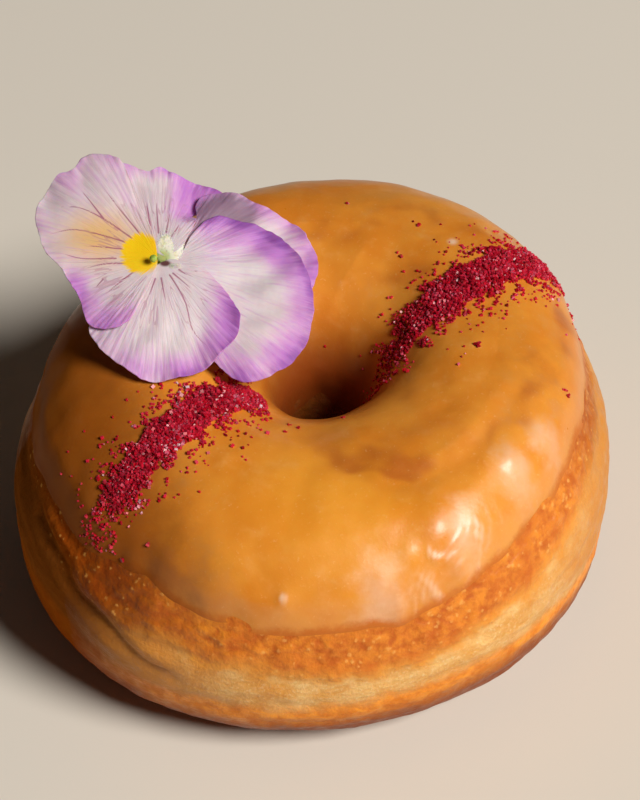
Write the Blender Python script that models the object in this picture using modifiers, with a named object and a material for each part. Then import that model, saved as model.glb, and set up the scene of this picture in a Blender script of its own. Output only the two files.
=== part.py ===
"""A glazed ring doughnut, with a stripe of crimson sugar and a viola flower lying on its glaze.

The dough is a torus pushed out to an uneven ring that rests flat on its underside. The glaze is
a second torus, flattened into a skin that hugs the top of the dough and runs down into the hole.
Each petal is a small grid bent to its outline. Lengths are in metres, +Z is up, and the front
of the doughnut faces -Y.
"""
import math
import random

import bmesh
import bpy
from mathutils import Euler, Matrix, Vector

MM = 0.001
TAU = 2 * math.pi

# The ring, measured from the axis of its hole
RING_CENTRE = (1.6 * MM, -1.0 * MM)      # puts the middle of the whole footprint at the origin
RING_RADIUS = 27 * MM                    # hole axis to the crest of the ring
HOLE_RADIUS = 5.4 * MM
EDGE_RADIUS = 49 * MM                    # hole axis to the outer edge
CREST_HEIGHT = 44 * MM
BELT_HEIGHT = 17 * MM                    # where the ring is widest
REST_SINK = 0.7 * MM                     # how much of the round underside is pressed flat
UPPER_POWER = 2.35                       # squareness of the section above the belt
LOWER_POWER = 3.0                        # and below it

# Slow waves round the ring: size, how many, and the direction of a crest in degrees
EDGE_WAVES = ((1.06 * MM, 1, 179), (2.6 * MM, 2, 67), (1.07 * MM, 3, -37), (0.25 * MM, 4, -22))
CREST_WAVES = ((1.1 * MM, 1, 41), (0.88 * MM, 2, -11))
BELT_WAVES = ((1.5 * MM, 2, 82),)

# The glaze and the clearance that it keeps to the dough
GLAZE_THICKNESS = 0.95 * MM
SKIN_GAP = 0.55 * MM
GLAZE_DEPTH = GLAZE_THICKNESS + SKIN_GAP
GLAZE_HEM = 26.4                         # degrees above the belt where the glaze ends, on average
GLAZE_HEM_WAVES = ((2.75, 1, -30), (6.2, 2, -2), (2.6, 3, -18), (1.25, 4, -40))
GLAZE_IN_HOLE = 172                      # degrees round the section where it ends in the hole
DOUGH_RISE = 26                          # degrees over which the dough comes back out below it

# Hollows in the top and the side: x, y, reach and depth
HOLLOWS = (
    (-1.9 * MM, -22.0 * MM, 4.0 * MM, 0.7 * MM),
    (4.0 * MM, -28.3 * MM, 4.0 * MM, 0.9 * MM),
    (10.5 * MM, -30.3 * MM, 4.0 * MM, 1.0 * MM),
    (17.3 * MM, -29.5 * MM, 4.0 * MM, 1.0 * MM),
    (22.5 * MM, -24.5 * MM, 4.0 * MM, 0.9 * MM),
    (27.5 * MM, -18.5 * MM, 4.0 * MM, 0.8 * MM),
    (32.5 * MM, -11.5 * MM, 4.0 * MM, 0.6 * MM),
    (10.7 * MM, 13.5 * MM, 6.0 * MM, 0.9 * MM),
    (-1.5 * MM, 21.0 * MM, 6.0 * MM, 0.8 * MM),
    (-29.0 * MM, -39.5 * MM, 5.0 * MM, 1.1 * MM),
    (-22.5 * MM, -44.5 * MM, 5.0 * MM, 1.0 * MM),
)

# Sugar clumps along the two strokes of the stripe: the strokes' points, then counts and sizes
STROKES = (
    ((-35.5, -33.5), (-24.2, -23.4), (-16.0, -14.5), (-9.8, -10.2)),
    ((9.6, -2.5), (12.6, 2.2), (19.0, 6.0), (27.0, 11.6), (37.0, 18.4)),
)
CLUMPS_PER_STROKE = 62
STROKE_HALF_WIDTH = 3.3 * MM
CLUMP_SIZES = (0.95 * MM, 1.55 * MM)
CLUMP_SPACING = 1.15 * MM
CLUMP_MARGIN = math.radians(7)           # kept clear at the glaze's two edges
CLUMP_SEED = 7

# The flower lies on the back left of the ring and leans towards the front
THROAT = (-25.0 * MM, 5.4 * MM, 54.0 * MM)
FLOWER_TILT = 25                         # degrees that the petals' plane rises towards the back
PETAL_THICKNESS = 0.45 * MM
PETAL_STEP = 0.85 * MM                   # from one layer of petals to the next
PETAL_GAP = 0.35 * MM                    # between the lowest middle petal and the calyx
PETAL_CELLS = 10
PETAL_DROOP = 1.3 * MM                   # how far the petals bend back 20 mm from the throat
STEM_END = 10.0 * MM                     # throat to the cut end of the stem
SEPALS = 5

# Mesh fineness
RING_STEPS = 56
SECTION_STEPS = 32


def waves(angle, terms):
    return sum(size * math.cos(count * (angle - math.radians(crest))) for size, count, crest in terms)


def smooth(t):
    t = min(max(t, 0.0), 1.0)
    return t * t * (3 - 2 * t)


def power(value, exponent):
    return math.copysign(abs(value) ** exponent, value)


def hollow_depth(x, y):
    """Depth of the dents at a place on top, each one a soft round bowl."""
    depth = 0.0
    for at_x, at_y, reach, deepest in HOLLOWS:
        distance = math.hypot(x - at_x, y - at_y)
        depth = max(depth, deepest * math.exp(-(distance / reach) ** 2))
    return depth


def ring_point(theta, phi, depth=0.0):
    """A point of the ring: theta runs round the hole, and phi round the section.

    phi is 0 at the outer belt, 90 degrees on top and 180 degrees in the hole.
    """
    c, s = math.cos(phi), math.sin(phi)
    exponent = 2 / (UPPER_POWER if s >= 0 else LOWER_POWER)
    belt = BELT_HEIGHT + waves(theta, BELT_WAVES)
    crest = CREST_HEIGHT + waves(theta, CREST_WAVES)
    edge = EDGE_RADIUS + waves(theta, EDGE_WAVES)
    across = edge - RING_RADIUS if c >= 0 else RING_RADIUS - HOLE_RADIUS
    upright = crest - belt if s >= 0 else belt + REST_SINK
    radius = RING_RADIUS + across * power(c, exponent)
    if s > 0:
        depth += hollow_depth(radius * math.cos(theta), radius * math.sin(theta)) * smooth(3 * s)
    radius = RING_RADIUS + (across - depth) * power(c, exponent)
    height = max(0.0, belt + (upright - depth) * power(s, exponent))
    return Vector((radius * math.cos(theta), radius * math.sin(theta), height))


def top_angles(x, y):
    """The angles theta and phi of the upper surface over a place in plan."""
    theta = math.atan2(y, x)
    edge = EDGE_RADIUS + waves(theta, EDGE_WAVES)
    radius = math.hypot(x, y)
    across = edge - RING_RADIUS if radius > RING_RADIUS else RING_RADIUS - HOLE_RADIUS
    share = min(max((radius - RING_RADIUS) / across, -0.99), 0.99)
    return theta, math.acos(power(share, UPPER_POWER / 2))


def glaze_hem(theta):
    return math.radians(GLAZE_HEM + waves(theta, GLAZE_HEM_WAVES))


def dough_depth(theta, phi):
    """How far the dough lies under the outer shape, so that it makes room for the glaze."""
    phi = phi % TAU
    if phi > 1.5 * math.pi:
        phi -= TAU
    rise = math.radians(DOUGH_RISE)
    if phi < math.pi / 2:
        return GLAZE_DEPTH * smooth(1 + (phi - glaze_hem(theta)) / rise)
    return GLAZE_DEPTH * smooth(1 - (phi - math.radians(GLAZE_IN_HOLE)) / rise)


def new_collection(name):
    collection = bpy.data.collections.new(name)
    bpy.context.scene.collection.children.link(collection)
    return collection


def move_to(obj, collection):
    for owner in list(obj.users_collection):
        owner.objects.unlink(obj)
    collection.objects.link(obj)


def material(name, colour, roughness):
    made = bpy.data.materials.new(name)
    made.use_nodes = True
    shader = made.node_tree.nodes["Principled BSDF"]
    shader.inputs["Base Color"].default_value = (*colour, 1)
    shader.inputs["Roughness"].default_value = roughness
    shader.inputs["Metallic"].default_value = 0.0
    return made


def torus(name, collection):
    """A torus with its section's angle still readable from each vertex."""
    bpy.ops.mesh.primitive_torus_add(major_segments=RING_STEPS, minor_segments=SECTION_STEPS,
                                     major_radius=RING_RADIUS, minor_radius=RING_RADIUS / 2)
    obj = bpy.context.active_object
    obj.name = name
    move_to(obj, collection)
    return obj


def angles(point):
    return math.atan2(point.y, point.x), math.atan2(point.z, point.to_2d().length - RING_RADIUS)


def make_dough(collection):
    obj = torus("doughnut", collection)
    for vertex in obj.data.vertices:
        theta, phi = angles(vertex.co)
        vertex.co = ring_point(theta, phi, dough_depth(theta, phi))
    obj.data.shade_smooth()
    obj.data.materials.append(material("fried dough", (0.60, 0.25, 0.06), 0.6))
    return obj


def make_glaze(collection):
    """The top half of each section is the glaze's face, and the other half its underside."""
    obj = torus("glaze", collection)
    for vertex in obj.data.vertices:
        theta, turn = angles(vertex.co)
        turn %= TAU
        under = turn > math.pi
        share = (TAU - turn if under else turn) / math.pi
        start, end = glaze_hem(theta), math.radians(GLAZE_IN_HOLE)
        phi = start + (end - start) * share
        full = smooth(min(share, 1 - share) * 9)
        middle = GLAZE_THICKNESS * 0.75
        depth = middle + full * ((GLAZE_THICKNESS if under else 0.0) - middle)
        vertex.co = ring_point(theta, phi, depth)
    obj.data.shade_smooth()
    obj.data.materials.append(material("caramel glaze", (0.82, 0.36, 0.06), 0.25))
    return obj


def stroke_point(stroke, share):
    """A point part of the way along a stroke, on straight legs between its points."""
    legs = [(Vector(b) - Vector(a)).length for a, b in zip(stroke, stroke[1:])]
    left = share * sum(legs)
    for start, end, leg in zip(stroke, stroke[1:], legs):
        if left <= leg:
            return Vector(start).lerp(Vector(end), left / leg) * MM
        left -= leg
    return Vector(stroke[-1]) * MM


def on_glaze(at):
    theta, phi = top_angles(at.x, at.y)
    return glaze_hem(theta) + CLUMP_MARGIN < phi < math.radians(GLAZE_IN_HOLE) - CLUMP_MARGIN


def clump_places():
    """Places along both strokes: crowded near the middle line, and never on one another."""
    draw = random.Random(CLUMP_SEED)
    places = []
    for stroke in STROKES:
        wanted = len(places) + CLUMPS_PER_STROKE
        for _ in range(CLUMPS_PER_STROKE * 40):
            if len(places) == wanted:
                break
            middle = stroke_point(stroke, draw.random())
            spread = Vector((draw.gauss(0, 0.45), draw.gauss(0, 0.45))) * STROKE_HALF_WIDTH
            at = middle + spread
            if on_glaze(at) and all((at - other).length > CLUMP_SPACING for other in places):
                places.append(at)
    return places


def make_clumps(collection):
    """Small slanted blocks of sugar, each sunk by about half into the glaze."""
    draw = random.Random(CLUMP_SEED + 1)
    for at in clump_places():
        size = draw.uniform(*CLUMP_SIZES)
        centre = ring_point(*top_angles(at.x, at.y), -0.1 * size)
        turn = Euler([draw.uniform(0, TAU) for _ in range(3)]).to_matrix().to_4x4()
        squash = Matrix.Diagonal((1.0, draw.uniform(0.7, 1.0), draw.uniform(0.6, 0.9), 1.0))
        mesh = bpy.data.meshes.new("sugar clump")
        shape = bmesh.new()
        bmesh.ops.create_cube(shape, size=size, matrix=Matrix.Translation(centre) @ turn @ squash)
        shape.to_mesh(mesh)
        shape.free()
        collection.objects.link(bpy.data.objects.new("sugar clump", mesh))


def fuse(obj, collection, solver="EXACT"):
    """Joins a collection's objects to one object for good, and then removes them."""
    union = obj.modifiers.new("join", "BOOLEAN")
    union.operation = "UNION"
    union.operand_type = "COLLECTION"
    union.collection = collection
    union.solver = solver
    bpy.context.view_layer.objects.active = obj
    bpy.ops.object.modifier_apply(modifier=union.name)
    for piece in list(collection.objects):
        bpy.data.objects.remove(piece)
    bpy.data.collections.remove(collection)


def spline_point(points, share):
    """A point on the smooth closed curve through the given points, share from 0 to 1."""
    count = len(points)
    place = share % 1.0 * count
    step = int(place)
    t = place - step
    a, b, c, d = (Vector(points[(step + k) % count]) for k in (-1, 0, 1, 2))
    return 0.5 * (2 * b + (c - a) * t + (2 * a - 5 * b + 4 * c - d) * t ** 2
                  + (3 * b - a - 3 * c + d) * t ** 3)


def petal_height(u, v, layer):
    """Height of a petal over the flower's plane, in millimetres, the same bend for every layer."""
    out = math.hypot(u, v) / 20
    bend = -PETAL_DROOP / MM * out ** 2 + 0.8 * out * math.sin(0.32 * u - 0.18 * v + 0.6)
    return bend - layer * PETAL_STEP / MM


def make_petal(name, collection, outline, middle, layer, frill, frill_side, finish, tuck=None):
    """A grid rounded to a disc, stretched to the outline and bent, with a thin even wall.

    outline and middle are millimetres in the flower's plane, the throat at 0, 0. The frill
    lifts the free edge, which faces frill_side, and tuck folds a part back behind the rest.
    """
    mesh = bpy.data.meshes.new(name)
    shape = bmesh.new()
    bmesh.ops.create_grid(shape, x_segments=PETAL_CELLS, y_segments=PETAL_CELLS, size=1)
    centre = Vector(middle)
    for vertex in shape.verts:
        a, b = vertex.co.x, vertex.co.y
        disc = Vector((a * math.sqrt(1 - b * b / 2), b * math.sqrt(1 - a * a / 2)))
        turn = math.atan2(disc.y, disc.x)
        reach = disc.length
        flat = centre + (spline_point(outline, turn / TAU) - centre) * reach
        side = flat - centre
        facing = max(0.0, math.cos(math.atan2(side.y, side.x) - math.radians(frill_side)))
        lift = frill * reach ** 4 * facing * (0.5 + 0.5 * math.sin(9 * turn))
        height = petal_height(flat.x, flat.y, layer) + lift
        if tuck:
            height -= tuck(flat.x, flat.y)
        vertex.co = Vector((flat.x, flat.y, height)) * MM
    bmesh.ops.triangulate(shape, faces=shape.faces)
    shape.to_mesh(mesh)
    shape.free()
    obj = bpy.data.objects.new(name, mesh)
    collection.objects.link(obj)
    wall = obj.modifiers.new("wall", "SOLIDIFY")
    wall.thickness = PETAL_THICKNESS
    wall.offset = 0.0
    obj.data.materials.append(finish)
    obj.data.shade_smooth()
    return obj


def pleat(u, v):
    """The upper side petal folds back behind its neighbour to the right of a short ridge."""
    return 2.75 * smooth((u - 2.4) / 1.9) * smooth((v - 8.2) / 1.2)


# Outlines of the five petals, in millimetres, from the side nearest the throat, anticlockwise
PETALS = {
    "petal_lip": dict(
        outline=((-0.4, 0.2), (-1.2, 4.9), (-3.7, 10.5), (-6.3, 17.2), (-9.5, 19.0), (-12.6, 18.5),
                 (-14.1, 16.3), (-17.0, 14.8), (-19.0, 10.6), (-19.4, 6.5), (-17.6, 1.8),
                 (-15.0, -1.4), (-12.4, -5.6), (-10.8, -9.8), (-7.7, -11.0), (-4.6, -9.7),
                 (-2.2, -5.5), (-0.9, -2.0)),
        middle=(-9.0, 3.5), layer=0, frill=0.7, frill_side=160),
    "petal_side_upper": dict(
        outline=((0.2, 1.4), (3.0, 2.6), (4.4, 5.2), (5.4, 7.8), (4.5, 9.3), (7.5, 10.3),
                 (12.2, 11.6), (9.5, 13.2), (5.8, 15.1), (2.0, 15.9), (-0.4, 17.0), (-2.7, 16.3),
                 (-6.6, 17.2), (-6.0, 11.0), (-2.6, 4.5)),
        middle=(1.0, 11.0), layer=1, frill=0.4, frill_side=60, tuck=pleat),
    "petal_side_lower": dict(
        outline=((0.4, 0.3), (2.7, 0.6), (6.6, -0.7), (9.2, -3.5), (12.0, -7.2), (12.3, -9.6),
                 (10.6, -13.4), (7.2, -17.0), (2.6, -18.5), (-1.5, -18.9), (-5.8, -16.7),
                 (-9.0, -13.4), (-10.6, -10.0), (-8.0, -6.5), (-3.5, -2.6)),
        middle=(1.5, -9.5), layer=1, frill=0.6, frill_side=-70),
    "petal_back_left": dict(
        outline=((1.6, 2.6), (5.2, 7.6), (5.2, 11.4), (7.5, 13.0), (12.2, 12.6), (17.5, 10.1),
                 (21.6, 7.3), (24.1, 2.9), (24.2, -0.8), (22.0, -4.5), (15.0, -5.0), (6.5, -1.6)),
        middle=(14.0, 3.5), layer=3, frill=0.7, frill_side=50),
    "petal_back_right": dict(
        outline=((0.9, 0.5), (3.0, 1.8), (5.0, 5.7), (8.0, 8.2), (13.0, 7.9), (18.0, 5.7),
                 (21.8, 1.4), (23.6, -4.5), (22.8, -11.3), (19.0, -16.2), (14.0, -18.6),
                 (9.5, -16.8), (5.5, -11.5), (1.9, -3.5)),
        middle=(13.0, -5.0), layer=2, frill=0.5, frill_side=-10),
}


def counter_clockwise(points):
    area = sum(a[0] * b[1] - b[0] * a[1] for a, b in zip(points, points[1:] + points[:1]))
    return points if area > 0 else points[:1] + points[:0:-1]


def make_stigma(collection, finish):
    """The bead at the flower's throat, on a short style."""
    mesh = bpy.data.meshes.new("stigma")
    shape = bmesh.new()
    bmesh.ops.create_uvsphere(shape, u_segments=10, v_segments=7, radius=0.6 * MM)
    for vertex in shape.verts:
        if vertex.co.z < 0:
            vertex.co.z *= 1.25
            vertex.co.x *= 0.75
    bmesh.ops.translate(shape, verts=shape.verts, vec=Vector((-0.9, -0.2, 1.55)) * MM)
    shape.to_mesh(mesh)
    shape.free()
    obj = bpy.data.objects.new("stigma", mesh)
    collection.objects.link(obj)
    obj.data.materials.append(finish)
    obj.data.shade_smooth()
    return obj


def make_calyx(collection, finish):
    """The green cup behind the petals, with a cut stem and five narrow sepals fused to it."""
    top = -(2 * PETAL_STEP + PETAL_THICKNESS / 2 + PETAL_GAP)
    profile = ((0.0, top), (1.9 * MM, top), (2.2 * MM, top - 0.7 * MM), (1.7 * MM, top - 2.3 * MM),
               (1.0 * MM, top - 3.8 * MM), (0.95 * MM, -STEM_END), (0.0, -STEM_END))
    mesh = bpy.data.meshes.new("calyx")
    mesh.from_pydata([(x, 0, z) for x, z in profile],
                     [(k, k + 1) for k in range(len(profile) - 1)], [])
    obj = bpy.data.objects.new("calyx", mesh)
    collection.objects.link(obj)
    turned = obj.modifiers.new("turn", "SCREW")
    turned.steps = 14
    turned.render_steps = 14
    turned.use_merge_vertices = True
    turned.merge_threshold = 0.00001
    bpy.context.view_layer.objects.active = obj
    bpy.ops.object.modifier_apply(modifier=turned.name)
    sepals = new_collection("sepals")
    for k in range(SEPALS):
        turn = TAU * (k + 0.25) / SEPALS
        leaf = bpy.data.meshes.new("sepal")
        shape = bmesh.new()
        bmesh.ops.create_uvsphere(shape, u_segments=8, v_segments=6, radius=1)
        bmesh.ops.scale(shape, vec=(2.6 * MM, 0.95 * MM, 0.32 * MM), verts=shape.verts)
        bmesh.ops.translate(shape, verts=shape.verts, vec=(3.3 * MM, 0, 0))
        for vertex in shape.verts:
            out = vertex.co.x / (6 * MM)
            vertex.co.z += top - 1.3 * MM - 0.5 * MM * out ** 2
        bmesh.ops.rotate(shape, verts=shape.verts, matrix=Matrix.Rotation(turn, 3, "Z"))
        shape.to_mesh(leaf)
        shape.free()
        sepals.objects.link(bpy.data.objects.new("sepal", leaf))
    fuse(obj, sepals)
    obj.data.materials.append(finish)
    obj.data.shade_smooth()
    return obj


def build():
    for obj in list(bpy.data.objects):
        bpy.data.objects.remove(obj)
    collection = new_collection("doughnut with viola")
    ring = bpy.data.objects.new("ring centre", None)
    ring.location = (*RING_CENTRE, 0)
    collection.objects.link(ring)
    flower = bpy.data.objects.new("flower throat", None)
    flower.location = THROAT
    flower.rotation_euler = (math.radians(FLOWER_TILT), 0, 0)
    flower.parent = ring
    collection.objects.link(flower)

    make_dough(collection).parent = ring
    glaze = make_glaze(collection)
    clumps = new_collection("sugar clumps")
    make_clumps(clumps)
    fuse(glaze, clumps)
    glaze.parent = ring

    petal_finish = material("viola petal", (0.62, 0.38, 0.62), 0.6)
    green = material("calyx green", (0.16, 0.28, 0.06), 0.5)
    for name, form in PETALS.items():
        outline = counter_clockwise(form.pop("outline"))
        make_petal(name, collection, outline, finish=petal_finish, **form).parent = flower
    make_stigma(collection, green).parent = flower
    make_calyx(collection, green).parent = flower


build()
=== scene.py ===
"""Looks of a glazed ring doughnut with a stripe of crimson sugar and a viola on its glaze.

The pieces are worked out in millimetres round the axis of the ring's hole, and set to metres
and to their place when each mesh is finished.
"""
import math
import random

import bmesh
import bpy
import numpy as np
from mathutils import Euler, Matrix, Vector, noise


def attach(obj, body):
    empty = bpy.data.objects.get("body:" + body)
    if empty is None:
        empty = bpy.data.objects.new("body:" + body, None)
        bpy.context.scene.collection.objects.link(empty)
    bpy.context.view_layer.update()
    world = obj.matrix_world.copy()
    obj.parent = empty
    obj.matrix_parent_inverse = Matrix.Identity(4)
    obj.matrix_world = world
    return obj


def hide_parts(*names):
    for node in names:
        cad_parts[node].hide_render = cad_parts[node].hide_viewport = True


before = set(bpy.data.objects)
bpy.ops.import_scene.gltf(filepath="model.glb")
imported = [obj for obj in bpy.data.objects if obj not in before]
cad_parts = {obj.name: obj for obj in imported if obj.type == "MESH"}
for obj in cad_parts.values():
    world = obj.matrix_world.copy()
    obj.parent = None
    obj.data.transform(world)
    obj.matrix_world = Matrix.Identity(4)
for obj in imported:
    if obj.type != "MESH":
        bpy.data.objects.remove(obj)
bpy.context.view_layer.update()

TAU = 2 * math.pi

# The ring, in millimetres, the same driving sizes as its solids
RING_CENTRE = Vector((1.6, -1.0, 0.0))
RING_RADIUS = 27.0
HOLE_RADIUS = 5.4
EDGE_RADIUS = 49.0
CREST_HEIGHT = 44.0
BELT_HEIGHT = 17.0
REST_SINK = 0.7
UPPER_POWER = 2.35
LOWER_POWER = 3.0
EDGE_WAVES = ((1.06, 1, 179), (2.6, 2, 67), (1.07, 3, -37), (0.25, 4, -22))
CREST_WAVES = ((1.1, 1, 41), (0.88, 2, -11))
BELT_WAVES = ((1.5, 2, 82),)

# The glaze: its thickness, and where it ends outside and in the hole, in degrees of the section
GLAZE_THICKNESS = 0.95
GLAZE_HEM = 26.4
GLAZE_HEM_WAVES = ((2.75, 1, -30), (6.2, 2, -2), (2.6, 3, -18), (1.25, 4, -40))
GLAZE_HEM_RAGGED = ((0.8, 11, 10), (0.5, 17, 40), (0.45, 29, 5), (0.3, 43, 20))
GLAZE_IN_HOLE = 174
GLAZE_IN_HOLE_WAVES = ((1.5, 2, 30), (1.0, 5, 70), (0.5, 9, 0))
# A notch in the hem: where round the ring, its reach and its depth, all in degrees
NOTCH_AT, NOTCH_REACH, NOTCH_DEPTH = 236, 5, 4.0
# The very edge is tucked into the dough over the first angle, and thickens over the second
GLAZE_TUCK = 2.4
GLAZE_FEATHER = 15
HEM_SINK = 0.15
HEM_THICKNESS = 0.03
# Low ripples of the coat: height, size and seed
GLAZE_RIPPLES = ((0.3, 12.0, 3.1), (0.16, 5.0, 8.4), (0.06, 2.6, 1.2))
# Beyond the glaze the dough comes up to the outer shape over this angle
DOUGH_RISE = 26

# Heights of the pale belt's two edges
PALE_TOP = 25.1
PALE_TOP_WAVES = ((0.35, 1, 43), (4.21, 2, 6), (1.74, 3, -17), (0.28, 4, 20))
PALE_FOOT = 15.0
PALE_FOOT_WAVES = ((1.14, 1, -169), (1.08, 2, 1), (0.79, 3, -51), (0.4, 4, 17))

# Hollows of the top: x, y, reach, depth
HOLLOWS = (
    (10.7, 13.5, 6.0, 0.9), (-1.5, 21.0, 6.0, 0.8), (-28.5, -38.5, 6.5, 0.6),
    (-22.0, -43.5, 6.0, 0.5),
)

# The valley that runs round the front of the top, inside the bulge of poured glaze
VALLEY = (
    (-6.0, -14.5), (-2.0, -18.6), (1.1, -24.1), (4.7, -27.9), (8.5, -30.2), (11.4, -30.8),
    (15.8, -30.1), (20.2, -27.2), (24.1, -23.0), (26.6, -19.0), (29.0, -14.5),
)
VALLEY_DEPTH = 0.62
VALLEY_REACH = 4.0
# Its low shelf towards the hole: x, y, reach and share of the depth
SHELF_X, SHELF_Y, SHELF_REACH, SHELF_SHARE = 14.0, -21.0, 7.0, 0.35

# The swirl that the poured glaze left on the front right shoulder: its middle, how far off each
# ridge is, the side that they are on, and their heights
SWIRL_CENTRE = (16.5, -36.5)
SWIRL_RIDGES = (3.1, 3.9, 4.8, 5.8, 6.9, 8.2, 9.8)
SWIRL_SIDE = math.radians(-48)
SWIRL_MIDDLE_HEIGHT, SWIRL_MIDDLE_REACH = 0.6, 3.0
SWIRL_RIDGE_HEIGHT = 0.22
# Knobs: x, y, reach, height
KNOBS = (
    (17.2, -30.6, 1.7, 0.22), (27.8, -25.4, 1.5, 0.34), (31.8, -20.9, 1.5, 0.36),
    (11.1, -44.6, 1.5, 0.3), (8.3, -43.8, 1.4, 0.26), (20.2, -39.4, 1.2, 0.25),
    (12.4, -40.4, 1.3, 0.22), (-5.7, -46.0, 0.7, 0.28), (-28.6, -38.2, 1.5, 0.4),
)

# Flower: place of the throat, the lean of its plane, and the layering of the petals
THROAT = Vector((-25.0, 5.4, 54.0))
FLOWER_TILT = math.radians(25)
PETAL_STEP = 0.85
PETAL_REACH = 20
PETAL_DROOP = 1.3
PETAL_WAVE = 0.45
PLEAT_DEPTH = 2.75
PETAL_THICKNESS = 0.22
PETAL_CELLS = 160

# Sizes of the meshes
DOUGH_RING_STEPS, DOUGH_SECTION_STEPS = 480, 200
# Most of the dough's section steps lie between these angles, where it shows
DOUGH_SHOWN = (-72, 44)
GLAZE_RING_STEPS, GLAZE_SECTION_STEPS = 440, 190
UNDERSIDE_SHARE = 0.14

# The camera: where it looks, how far off and how steeply, and its focal length on 36 mm
CAMERA_AIM = Vector((1.2, -1.0, 29.6))
CAMERA_DISTANCE = 400.0
CAMERA_RISE = math.radians(44)
CAMERA_LENS = 113.27


def waves(theta, terms):
    return sum(size * np.cos(count * (theta - math.radians(crest))) for size, count, crest in terms)


def smooth(t):
    t = np.clip(t, 0.0, 1.0)
    return t * t * (3 - 2 * t)


def power(value, exponent):
    return np.sign(value) * np.abs(value) ** exponent


def bump_at(distance, reach):
    return np.exp(-(distance / reach) ** 2)


def bump_near(x, y, at_x, at_y, reach):
    return bump_at(np.hypot(x - at_x, y - at_y), reach)


def grain(places, size, seed=0.0):
    """Smooth noise, -1 to 1, with features of about the given size in millimetres."""
    offset = Vector((seed, 1.7 * seed, -seed))
    return np.array([noise.noise(Vector(p) / size + offset) for p in places])


def near_line(u, v, points, width, taper=0.0):
    """1 on the line through some points, falling off over its width; it may taper to its end."""
    best = np.zeros_like(u)
    lengths = [math.dist(a, b) for a, b in zip(points, points[1:])]
    gone = 0.0
    for a, b, length in zip(points, points[1:], lengths):
        run = (np.array(b) - np.array(a)) / length
        along = np.clip((u - a[0]) * run[0] + (v - a[1]) * run[1], 0, length)
        distance = np.hypot(u - a[0] - along * run[0], v - a[1] - along * run[1])
        left = 1 - (gone + along) / sum(lengths)
        slim = width * (1 - taper + taper * left)
        ending = 1 - taper + taper * smooth(left * 4)
        best = np.maximum(best, bump_at(distance, slim) * ending)
        gone += length
    return best


def between(a, b, c, d, t):
    """The smooth curve through four knots, from the second to the third as t goes from 0 to 1."""
    return 0.5 * (2 * b + (c - a) * t + (2 * a - 5 * b + 4 * c - d) * t ** 2
                  + (3 * b - a - 3 * c + d) * t ** 3)


def open_curve(points, count=24):
    """Points along a smooth curve through the given ones."""
    knots = np.array([points[0], *points, points[-1]], float)
    place = np.linspace(0, len(points) - 1.0001, count)
    step = place.astype(int)
    curve = between(*(knots[step + k] for k in range(4)), (place - step)[:, None])
    return [tuple(p) for p in curve]


def valley_share(x, y):
    """1 in the valley, which fades out to the right and has a low shelf towards the hole."""
    line = near_line(x, y, open_curve(VALLEY, 30), VALLEY_REACH, taper=0.5)
    shelf = SHELF_SHARE * bump_at(np.hypot((x - SHELF_X) / 1.3, y - SHELF_Y), SHELF_REACH)
    return np.maximum(line, shelf)


# Forms of the ring
def ring_surface(theta, phi, depth):
    """Places of the ring: theta runs round the hole and phi round the section, 0 at the belt."""
    c, s = np.cos(phi), np.sin(phi)
    exponent = np.where(s >= 0, 2 / UPPER_POWER, 2 / LOWER_POWER)
    belt = BELT_HEIGHT + waves(theta, BELT_WAVES)
    crest = CREST_HEIGHT + waves(theta, CREST_WAVES)
    edge = EDGE_RADIUS + waves(theta, EDGE_WAVES)
    across = np.where(c >= 0, edge - RING_RADIUS, RING_RADIUS - HOLE_RADIUS)
    upright = np.where(s >= 0, crest - belt, belt + REST_SINK)
    radius = RING_RADIUS + across * power(c, exponent)
    x, y = radius * np.cos(theta), radius * np.sin(theta)
    hollow = VALLEY_DEPTH * valley_share(x, y)
    for at_x, at_y, reach, deepest in HOLLOWS:
        hollow = np.maximum(hollow, deepest * bump_near(x, y, at_x, at_y, reach))
    depth = depth + hollow * smooth(3 * s)
    radius = RING_RADIUS + (across - depth) * power(c, exponent)
    height = np.maximum(0.0, belt + (upright - depth) * power(s, exponent))
    return np.stack([radius * np.cos(theta), radius * np.sin(theta), height], axis=1)


def top_angles(x, y):
    """theta and phi of the upper surface over places in plan."""
    theta = np.arctan2(y, x)
    edge = EDGE_RADIUS + waves(theta, EDGE_WAVES)
    radius = np.hypot(x, y)
    across = np.where(radius > RING_RADIUS, edge - RING_RADIUS, RING_RADIUS - HOLE_RADIUS)
    share = np.clip((radius - RING_RADIUS) / across, -0.995, 0.995)
    return theta, np.arccos(power(share, UPPER_POWER / 2))


def unwrap(phi):
    """phi between -90 and 270 degrees, so that the belt and the hole are each in one piece."""
    phi = np.mod(phi, TAU)
    return np.where(phi > 1.5 * math.pi, phi - TAU, phi)


def hem_angle(theta):
    """Where round the section the glaze ends outside."""
    hem = GLAZE_HEM + waves(theta, GLAZE_HEM_WAVES + GLAZE_HEM_RAGGED)
    notch = NOTCH_DEPTH * bump_at(np.degrees(theta) % 360 - NOTCH_AT, NOTCH_REACH)
    return np.radians(hem + notch)


def hole_angle(theta):
    """Where round the section the glaze ends in the hole."""
    return np.radians(GLAZE_IN_HOLE + waves(theta, GLAZE_IN_HOLE_WAVES))


def dough_depth(theta, phi):
    """How far the dough lies under the outer shape where the glaze covers it."""
    phi = unwrap(phi)
    rise = math.radians(DOUGH_RISE)
    outside = smooth(1 + (phi - hem_angle(theta)) / rise)
    inside = smooth(1 - (phi - hole_angle(theta)) / rise)
    return GLAZE_THICKNESS * np.where(phi < math.pi / 2, outside, inside)


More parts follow.
